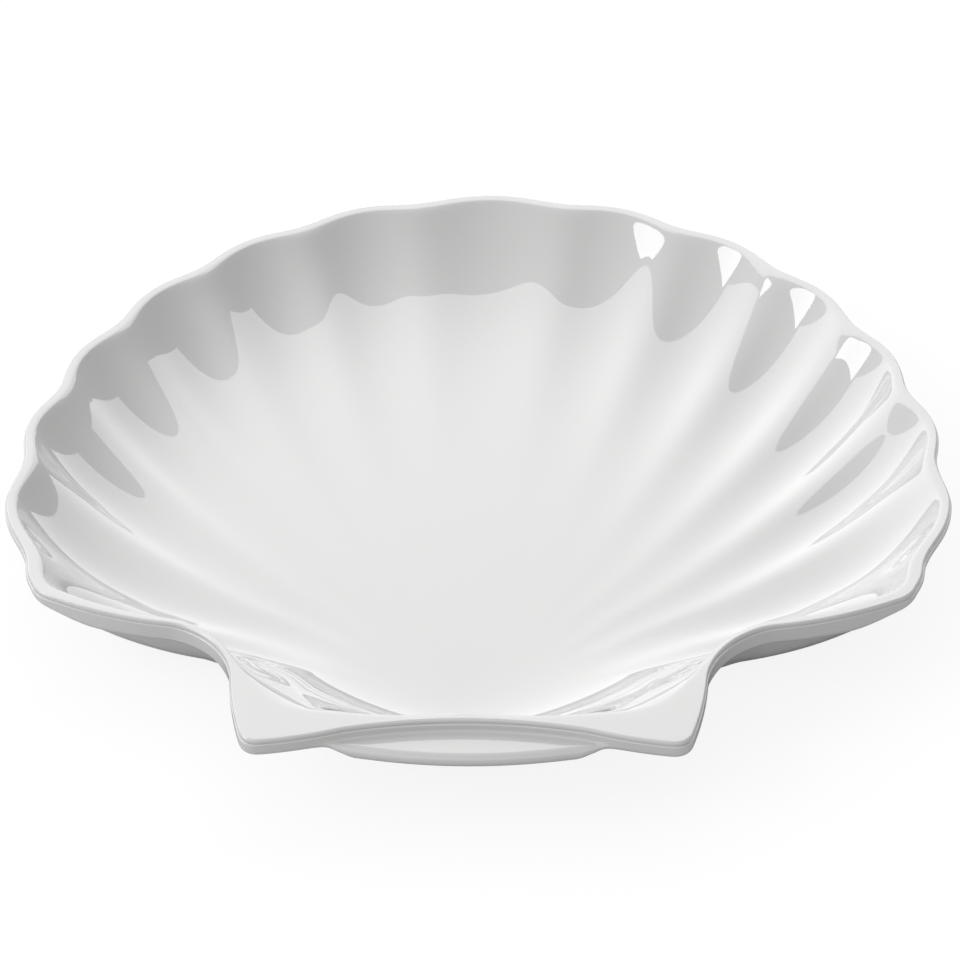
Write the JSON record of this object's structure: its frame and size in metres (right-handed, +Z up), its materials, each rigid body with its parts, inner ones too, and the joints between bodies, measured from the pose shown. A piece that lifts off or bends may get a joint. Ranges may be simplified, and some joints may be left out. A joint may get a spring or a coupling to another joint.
{
  "type": "shell serving plate",
  "caption": "Scallop-shell serving plate in glossy white melamine: ribbed dish, scalloped rim, square ears and a thumb ledge, on a foot ring.",
  "frame": {"origin": "centre of the plate's width and length, on the plane that the foot ring stands on", "axes": "+X across the fan, +Y from the ears to the fanned back edge, +Z up"},
  "size_m": [0.2784, 0.2696, 0.0277],
  "materials": {
    "face_melamine": "high gloss moulded melamine, white",
    "backing_melamine": "gloss moulded melamine, white"
  },
  "bodies": {
    "root": {"face_shell": "face_melamine", "backing_shell": "backing_melamine"}
  },
  "joints": []
}
